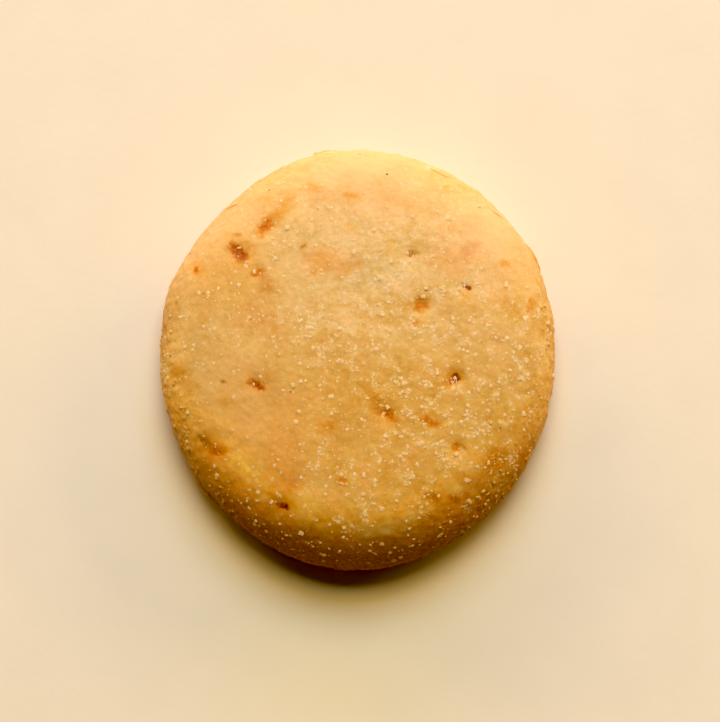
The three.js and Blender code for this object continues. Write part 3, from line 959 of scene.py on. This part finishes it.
def make_fine_salt(material):
    """The fine salt as one mesh."""
    draw = np.arange(FINE_SALT_TRIES) * FINE_SALT_STRIDE
    azimuth = 2 * math.pi * chance(draw + 8)
    share = SALT_LIES_ON * chance(draw + 9)
    points, normals, _ = fine_crust(azimuth, share)
    kept = chance(draw) < saltiness(points)
    points, normals, draw = points[kept], normals[kept], draw[kept]
    sizes = between(FINE_SALT_SIZE, chance(draw + 1) ** FINE_SALT_SKEW)
    sides = sizes[:, None] * between(GRAIN_SIDES, chance(draw[:, None] + np.arange(2, 5)))
    turns = math.pi * chance(draw[:, None] + np.arange(5, 8))
    points = points - normals * (sizes * FINE_SALT_SINK)[:, None]
    new_crystals("fine_salt", template_block(0), points, normals, sides, turns, material)


def make_crumbs(material):
    """Loose crumbs, mostly on the side."""
    draw = np.arange(CRUMBS) * CRUMB_STRIDE
    around, down, size = [chance(draw + offset) for offset in CRUMB_OFFSETS]
    azimuth = np.radians(between(CRUMBED_EDGE, around))
    points, normals, _ = fine_crust(azimuth, between(CRUMBED_SHARES, down))
    sizes = between(CRUMB_SIZE, size**CRUMB_SKEW)
    sides = sizes[:, None] * between(GRAIN_SIDES, chance(draw[:, None] + np.arange(3, 6)))
    turns = math.pi * chance(draw[:, None] + np.arange(6, 9))
    new_crystals("crumbs", template_pebble(), points, normals, sides, turns, material)


def ring_faces(rows, columns):
    """The triangles between rows of points, where each row closes on itself."""
    row, column = np.meshgrid(np.arange(rows - 1), np.arange(columns), indexing="ij")
    here = (row * columns + column).ravel()
    beside = (row * columns + (column + 1) % columns).ravel()
    first = np.stack([here, beside, here + columns], 1)
    second = np.stack([beside, beside + columns, here + columns], 1)
    return np.concatenate([first, second])


def lip_shape(start, end, peak, height, reach):
    """One lip of crust with a ragged, rounded edge, as points and triangles."""
    degrees = np.linspace(start, end, LIP_DIVISIONS)
    away = (degrees - peak) / np.where(degrees < peak, start - peak, end - peak)
    stands = reach * (1 - away**2)
    azimuth = np.radians(degrees)[:, None]
    turn = np.linspace(0, 2 * math.pi, LIP_ROUND, endpoint=False)[None, :]
    half_length = (stands + LIP_ROOT)[:, None] / 2
    radius = outline_radius(azimuth) - LIP_ROOT + half_length * (1 + np.cos(turn))
    thickness = LIP_THICKNESS / 2 * (1 - LIP_THINNING * np.cos(turn))
    level = np.broadcast_to(height + LIP_THICKNESS / 2 + thickness * np.sin(turn), radius.shape)
    points = np.stack([radius * np.cos(azimuth), radius * np.sin(azimuth), level], 2).reshape(-1, 3)
    outer = np.clip(np.cos(np.repeat(turn, LIP_DIVISIONS, axis=0)).ravel(), 0, 1)[:, None]
    for size, far in LIP_BUMPS:
        points += outer * far * np.stack([bumps(points + size * n, size) for n in LIP_SHIFTS], 1)
    faces = ring_faces(LIP_DIVISIONS, LIP_ROUND)
    last = (LIP_DIVISIONS - 1) * LIP_ROUND
    caps = [(0, n + 1, n) for n in range(1, LIP_ROUND - 1)]
    caps += [(last, last + n, last + n + 1) for n in range(1, LIP_ROUND - 1)]
    return points, np.concatenate([faces, np.array(caps)])


def joined(shapes):
    """Several shapes as one array of points and one of triangles."""
    points, faces, count = [], [], 0
    for some_points, some_faces in shapes:
        points.append(some_points)
        faces.append(some_faces + count)
        count += len(some_points)
    return np.concatenate(points), np.concatenate(faces)


def make_lips(material):
    """The lips of crust on the side, as one mesh."""
    points, faces = joined([lip_shape(*lip) for lip in LIPS])
    piece = new_piece("lips", points, faces, material, smooth=True)
    tints = np.repeat(np.array(LIP_TINTS), LIP_DIVISIONS * LIP_ROUND, axis=0)
    paint(piece, tints, DUST_ON_LIPS * saltiness(points), np.zeros(len(points)))


def crack_shape(ends):
    """One hairline crack: a flat sliver of painted shade that hugs the crust and narrows towards both ends.
    """
    share = np.linspace(0, 1, CRACK_STEPS)
    (x0, y0), (x1, y1) = ends
    line = np.stack([x0 + (x1 - x0) * share, y0 + (y1 - y0) * share], 1)
    side = np.array([y0 - y1, x1 - x0]) / math.hypot(x1 - x0, y1 - y0)
    stray = CRACK_STRAY * bumps(np.column_stack([line, share]), CRACK_BUMPS)
    width = CRACK_WIDTH / 2 * np.sqrt(np.sin(math.pi * np.clip(share, CRACK_TIP, 1 - CRACK_TIP)))
    edges = [line + side * (stray + sign * width)[:, None] for sign in (1, -1)]
    points = []
    for edge in edges:
        crust, normals, _ = fine_crust(*crust_over(edge))
        points.append(crust + normals * CRACK_LIFT)
    count = CRACK_STEPS
    faces = [(n, n + 1, n + count) for n in range(count - 1)]
    faces += [(n + 1, n + 1 + count, n + count) for n in range(count - 1)]
    return np.concatenate(points), np.array(faces)


def make_cracks(material):
    """The hairline cracks near the rim, as one mesh of painted shade."""
    points, faces = joined([crack_shape(ends) for ends in CRACKS])
    new_piece("cracks", points, faces, material, smooth=False)


def make_specks(material):
    """The dark specks, as one mesh."""
    points, normals, _ = fine_crust(*crust_over(SPECKS))
    draw = np.arange(len(SPECKS)) * SPECK_STRIDE
    sizes = between(SPECK_SIZE, chance(draw + SPECK_OFFSET))
    sides = sizes[:, None] * between(GRAIN_SIDES, chance(draw[:, None] + np.arange(1, 4)))
    turns = math.pi * chance(draw[:, None] + np.arange(4, 7))
    new_crystals("specks", template_pebble(), points, normals, sides, turns, material)


def make_floor(material):
    """The sheet under the biscuit, a hair below its base."""
    reach = FLOOR_REACH * MM
    mesh = bpy.data.meshes.new("floor")
    corners = [(-reach, -reach), (reach, -reach), (reach, reach), (-reach, reach)]
    mesh.from_pydata([(x, y, -FLOOR_DROP * MM) for x, y in corners], [], [(0, 1, 2, 3)])
    mesh.materials.append(material)
    floor = bpy.data.objects.new("floor", mesh)
    bpy.context.scene.collection.objects.link(floor)


# ---------------------------------------------------------------- light and camera

CAMERA_ELEVATION = 80
CAMERA_LENS = 100  # on a 36 mm sensor
CAMERA_DISTANCE = 254.5
CAMERA_AIM = (0.37, -0.49, 2.7)  # the photograph's middle lies a little off the biscuit's

LAMP_DISTANCE = 1500
LAMP_STRENGTH = 1.1  # makes up for the light that wide, flat lamps lose


class Lamp(NamedTuple):
    """An oval soft lamp behind the biscuit."""

    name: str
    azimuth: float  # from X towards Y
    elevation: float
    width: float  # how wide and how high it looks from the biscuit
    height: float
    light: tuple  # how much light it throws on the sheet, in each colour


# The low lamp and the middle one are cool, and the other three are warm. The lower a lamp is, the longer its
# shadow, so the outer part of the shadow in front misses mostly cool light and is warm.
LAMPS = [
    Lamp("low_lamp", 88, 16, 70, 14, (0.09, 0.095, 0.20)),
    Lamp("right_lamp", 37, 17, 40, 16, (0.14, 0.09, 0.025)),
    Lamp("left_lamp", 128, 17, 36, 16, (0.12, 0.078, 0.02)),
    Lamp("middle_lamp", 84, 43, 46, 22, (0.27, 0.365, 0.48)),
    Lamp("high_lamp", 84, 60, 42, 18, (0.395, 0.305, 0.13)),
]
BLACK_LEVEL = 0.014  # light that the photograph's darkest tones have lost
FILL_COLOUR = (0.036, 0.026, 0.003, 1)


def direction(azimuth, elevation):
    """The unit vector in a direction given in degrees."""
    level = math.cos(math.radians(elevation))
    across, along = math.cos(math.radians(azimuth)), math.sin(math.radians(azimuth))
    return Vector((level * across, level * along, math.sin(math.radians(elevation))))


def place_looking(thing, aim, towards, distance):
    """Puts a camera or light at a distance from what it looks at."""
    thing.location = aim + towards * distance
    thing.rotation_euler = (-towards).to_track_quat("-Z", "Y").to_euler()
    bpy.context.scene.collection.objects.link(thing)


def make_camera():
    """The camera, nearly overhead and from the front."""
    lens = bpy.data.cameras.new("camera")
    lens.lens = CAMERA_LENS
    camera = bpy.data.objects.new("camera", lens)
    place_looking(camera, Vector(CAMERA_AIM) * MM, direction(-90, CAMERA_ELEVATION), CAMERA_DISTANCE * MM)
    bpy.context.scene.camera = camera


def make_light():
    """The lamps, and a weak warm fill from all round."""
    distance = LAMP_DISTANCE * MM
    for lamp in LAMPS:
        light = bpy.data.lights.new(lamp.name, "AREA")
        light.shape = "ELLIPSE"
        light.size = 2 * distance * math.tan(math.radians(lamp.width / 2))
        light.size_y = 2 * distance * math.tan(math.radians(lamp.height / 2))
        light.energy = LAMP_STRENGTH * (math.pi * distance) ** 2 / math.sin(math.radians(lamp.elevation))
        light.color = lamp.light
        bulb = bpy.data.objects.new(lamp.name, light)
        place_looking(bulb, Vector((0, 0, 0)), direction(lamp.azimuth, lamp.elevation), distance)
    world = bpy.data.worlds.new("world")
    world.use_nodes = True
    world.node_tree.nodes["Background"].inputs["Color"].default_value = FILL_COLOUR
    bpy.context.scene.world = world
    view = bpy.context.scene.view_settings
    view.view_transform = "Standard"
    view.use_curve_mapping = True
    view.curve_mapping.black_level = (BLACK_LEVEL, BLACK_LEVEL, BLACK_LEVEL)
    view.curve_mapping.update()


make_camera()
make_light()
make_floor(paper_material())
dough = dough_material()
make_body(dough)
make_lips(dough)
make_cracks(dark_material("crack", PAINTED_CRACK_SHADE))
make_specks(dark_material("speck", SPECK))
salt = salt_material()
make_coarse_salt(salt)
make_fine_salt(salt)
make_crumbs(crumb_material())
